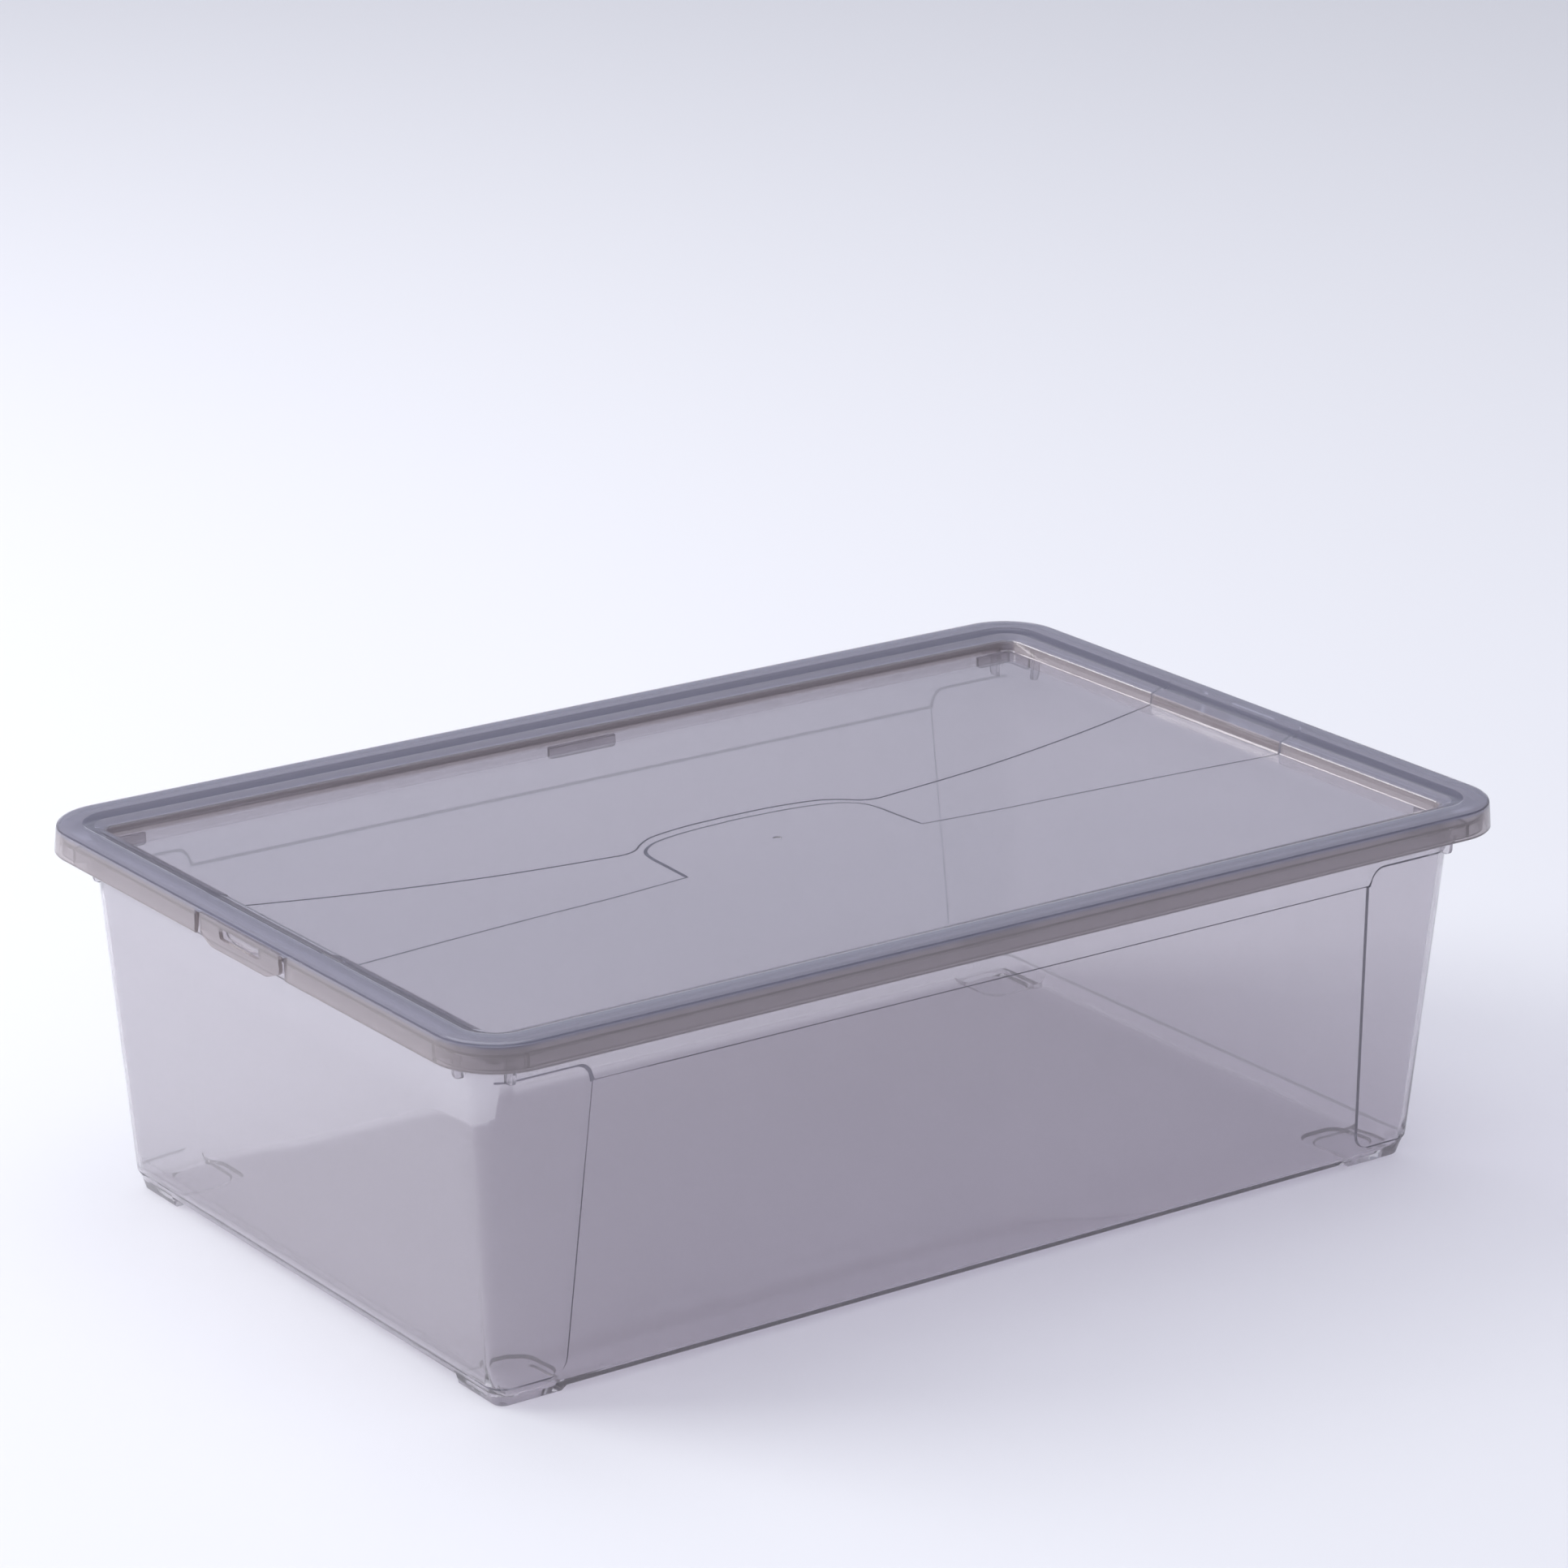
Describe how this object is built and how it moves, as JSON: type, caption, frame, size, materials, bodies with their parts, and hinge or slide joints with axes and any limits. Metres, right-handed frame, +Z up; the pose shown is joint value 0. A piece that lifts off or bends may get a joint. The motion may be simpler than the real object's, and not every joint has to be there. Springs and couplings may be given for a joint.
{
  "type": "shoe box",
  "caption": "Lidded see-through storage box for shoes: tapered tub with flanged mouth, close-fitting lid with sunken panel and a hinged latch tab at each end",
  "frame": {"origin": "on the ground under the middle of the box", "axes": "X along the long side, Y across, +Z up"},
  "size_m": [0.36, 0.2364, 0.1123],
  "materials": {
    "tub": "clear smoke-grey moulded polypropylene, smooth",
    "lid": "clear smoke-grey moulded polypropylene, smooth",
    "latch": "clear smoke-grey moulded polypropylene, smooth"
  },
  "bodies": {
    "tub": {"tub": "tub"},
    "lid": {"lid": "lid"},
    "latch_left": {"latch_tab_left": "latch"},
    "latch_right": {"latch_tab_right": "latch"}
  },
  "joints": [
    {"name": "lid_lift", "type": "slide", "parent": "tub", "child": "lid", "axis": [0, 0, 1], "range_m": [0, 0.15]},
    {"name": "latch_left_hinge", "type": "hinge", "parent": "lid", "child": "latch_left", "pos_m": [-0.1799, 0, 0.11025], "axis": [0, 1, 0], "range_deg": [0, 45], "stiffness_Nm_per_rad": 0.02},
    {"name": "latch_right_hinge", "type": "hinge", "parent": "lid", "child": "latch_right", "pos_m": [0.1799, 0, 0.11025], "axis": [0, -1, 0], "range_deg": [0, 45], "stiffness_Nm_per_rad": 0.02}
  ]
}
